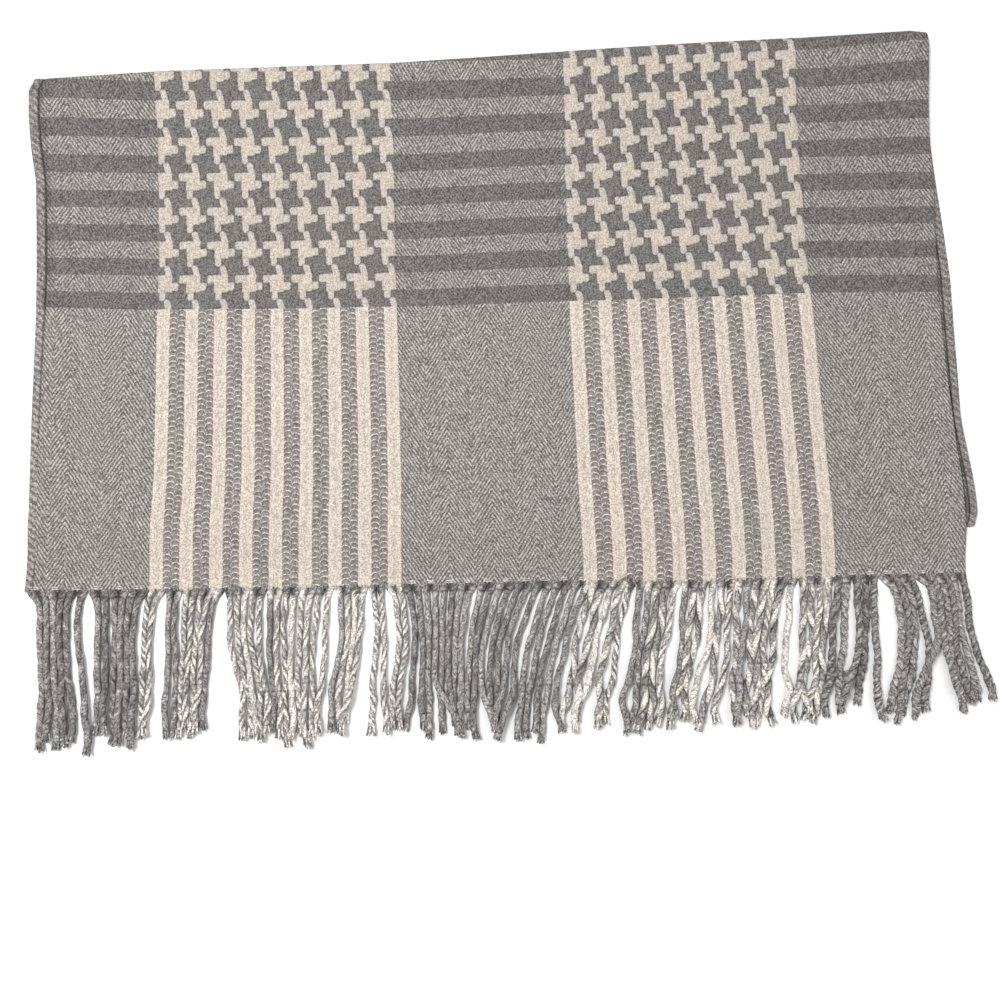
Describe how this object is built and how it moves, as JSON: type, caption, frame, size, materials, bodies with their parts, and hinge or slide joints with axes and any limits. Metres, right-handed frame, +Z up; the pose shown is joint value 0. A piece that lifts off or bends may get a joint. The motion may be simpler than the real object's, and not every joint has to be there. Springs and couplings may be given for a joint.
{
  "type": "folded pashmina shawl",
  "caption": "Grey and cream woven pashmina shawl with houndstooth and stripe blocks, folded in quarters and laid flat, twisted fringe along its hem.",
  "frame": {"origin": "middle of the whole outline, fringe included, on the surface that the folded shawl lies on", "axes": "+X across the cloth, from the side with the selvedge groove to the side where the lower layers peek out; +Y from the fringe to the top fold; +Z up from the surface"},
  "size_m": [0.7218, 0.5468, 0.009],
  "materials": {
    "cloth": "soft matt wool weave in grey and cream, with herringbone, stripes and houndstooth",
    "grey_cord": "matt twisted grey wool",
    "mixed_cord": "matt wool, one cream and one grey strand twisted together"
  },
  "bodies": {
    "root": {"top_panel": "cloth", "under_layers": "cloth", "fringe_grey_left": "grey_cord", "fringe_mixed_left": "mixed_cord", "fringe_grey_centre": "grey_cord", "fringe_mixed_right": "mixed_cord", "fringe_grey_right": "grey_cord"}
  },
  "joints": []
}
